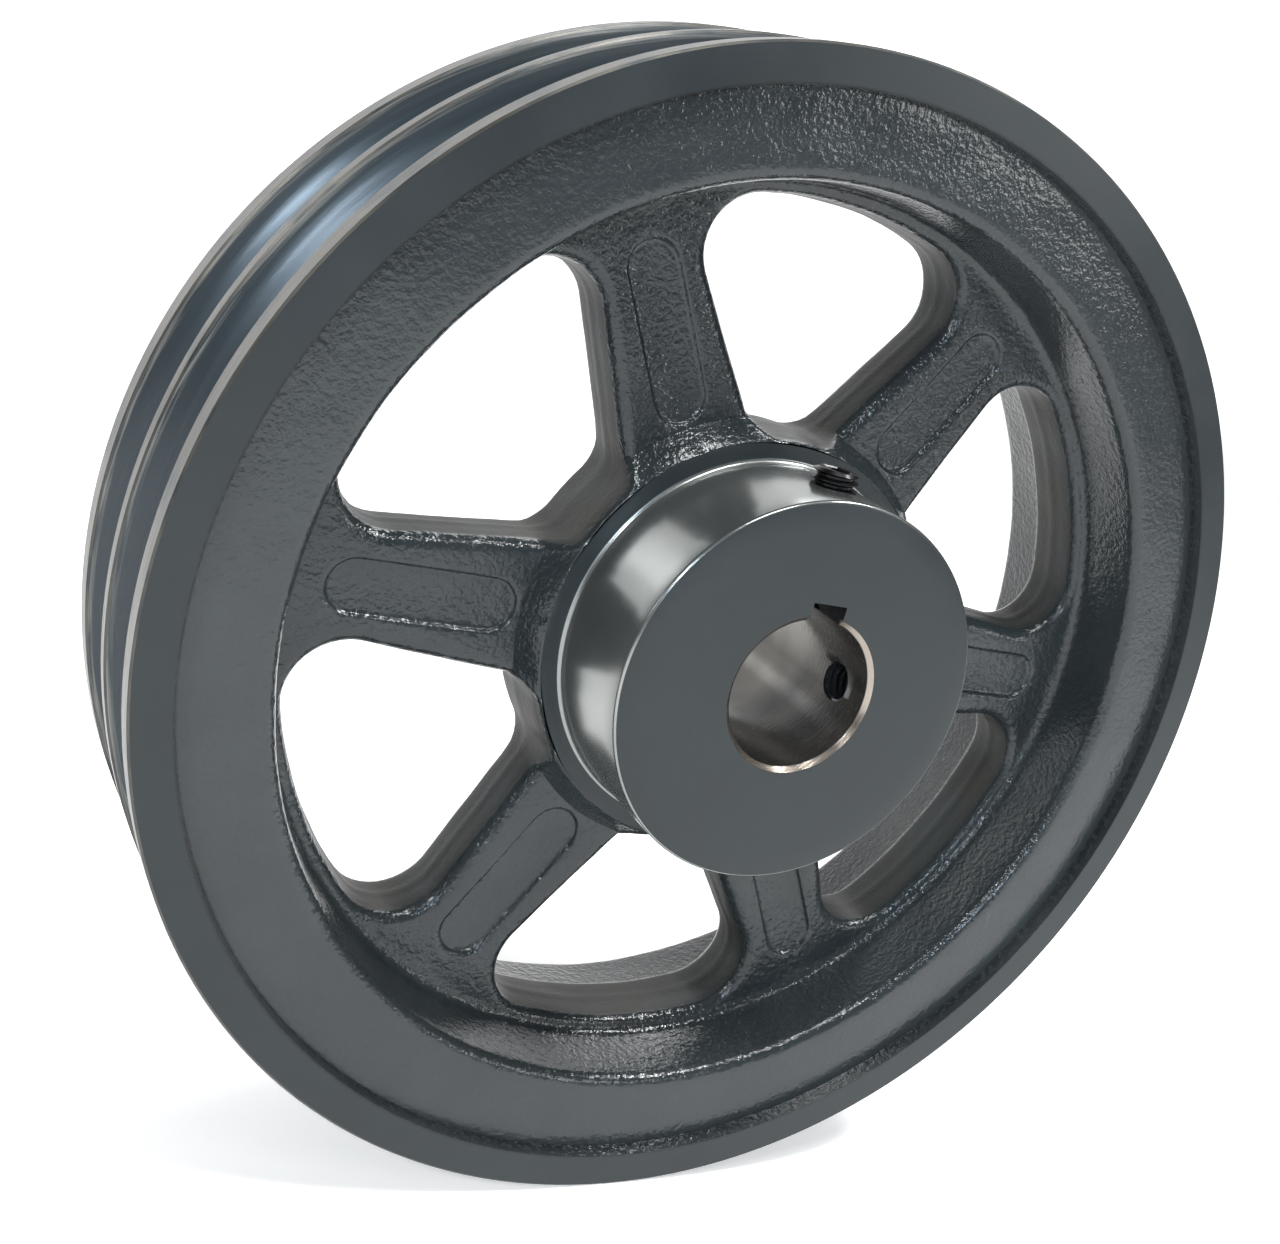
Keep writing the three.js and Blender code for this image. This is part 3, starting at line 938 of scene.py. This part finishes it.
def camera():
    forward = (CAMERA_TARGET - CAMERA_PLACE).normalized()
    level = forward.cross(Vector((0, 0, 1))).normalized()
    rise = level.cross(forward)
    right = math.cos(CAMERA_ROLL) * level + math.sin(CAMERA_ROLL) * rise
    up = right.cross(forward)
    data = bpy.data.cameras.new("camera")
    data.lens = CAMERA_LENS
    data.sensor_width = CAMERA_SENSOR
    data.shift_x, data.shift_y = CAMERA_SHIFT
    data.clip_start, data.clip_end = 0.01, 20
    eye = placed("camera", data)
    eye.matrix_world = Matrix((
        (right.x, up.x, -forward.x, CAMERA_PLACE.x),
        (right.y, up.y, -forward.y, CAMERA_PLACE.y),
        (right.z, up.z, -forward.z, CAMERA_PLACE.z),
        (0, 0, 0, 1),
    ))
    bpy.context.scene.camera = eye


def softbox(name, place, target, width, height, power, colour=(1, 1, 1)):
    data = bpy.data.lights.new(name, "AREA")
    data.shape = "RECTANGLE"
    data.size, data.size_y = width, height
    data.energy = power
    data.color = colour
    lamp = placed(name, data)
    lamp.location = place
    lamp.rotation_euler = (Vector(target) - Vector(place)).to_track_quat("-Z", "Y").to_euler()


def floor():
    half, z = 3.0, -RIM_R
    corners = [(-half, -half, z), (half, -half, z), (half, half, z), (-half, half, z)]
    mesh = bpy.data.meshes.new("floor")
    mesh.from_pydata(corners, [], [(0, 1, 2, 3)])
    plane = placed("floor", mesh)
    g = Graph("pale_floor")
    mottle = g.noise(g.place(), 0.2, 2)
    pale = g.mix(mottle, tint(0.86, 0.86, 0.86), tint(0.90, 0.90, 0.90))
    g.shade(Base_Color=pale, Roughness=0.9, Emission_Color=pale, Emission_Strength=0.5)
    mesh.materials.append(g.material)


def backdrop():
    """A glowing pale wall well behind the wheel."""
    half, y, low, high = 4.0, 2.4, -RIM_R, 3.0
    corners = [(-half, y, low), (half, y, low), (half, y, high), (-half, y, high)]
    mesh = bpy.data.meshes.new("backdrop")
    mesh.from_pydata(corners, [], [(0, 1, 2, 3)])
    wall = placed("backdrop", mesh)
    g = Graph("pale_backdrop")
    mottle = g.noise(g.place(), 0.6, 2)
    pale = g.mix(mottle, tint(0.90, 0.90, 0.90), tint(0.94, 0.94, 0.94))
    g.shade(Base_Color=pale, Roughness=0.9, Emission_Color=pale, Emission_Strength=1.0)
    mesh.materials.append(g.material)


def studio():
    bpy.context.scene.view_settings.view_transform = "Standard"
    world = bpy.data.worlds.new("studio")
    world.use_nodes = True
    world.node_tree.nodes["Background"].inputs["Color"].default_value = tint(1, 1, 1)
    world.node_tree.nodes["Background"].inputs["Strength"].default_value = 0.16
    bpy.context.scene.world = world
    softbox("key_light", (-0.75, -0.55, 0.52), (0, 0, 0), 0.11, 0.09, 3.0)
    softbox("high_light", (-0.10, -0.40, 1.00), (0, 0, 0), 0.40, 0.14, 8.0)
    softbox("side_light", (-1.0, 0.05, 0.30), (0, 0, 0), 0.10, 0.16, 0.8)
    softbox("groove_light", (-0.43, -1.10, 0.36), (-0.08, 0, 0.05), 0.12, 0.20, 4.2, (0.66, 0.83, 1.0))
    softbox("front_light", (0.75, -0.85, 0.35), (0, 0, 0), 0.3, 0.3, 2.5)
    softbox("top_light", (0.50, -0.23, 0.85), (0, 0, 0), 0.15, 0.15, 7.0)
    softbox("back_light", (-0.80, 1.20, 0.50), (0, 0, 0), 0.35, 0.35, 0.7)
    softbox("back_fill", (0.50, 0.75, 1.00), (0, 0, 0), 0.5, 0.5, 5.0)


camera()
floor()
backdrop()
studio()
sheave_casting()
set_screw("key_set_screw", "set_screw_over_key", "key_screw", KEY_SCREW_TIP, 0)
set_screw("shaft_set_screw", "set_screw_on_shaft", "shaft_screw", SHAFT_SCREW_TIP, TURN / 4)
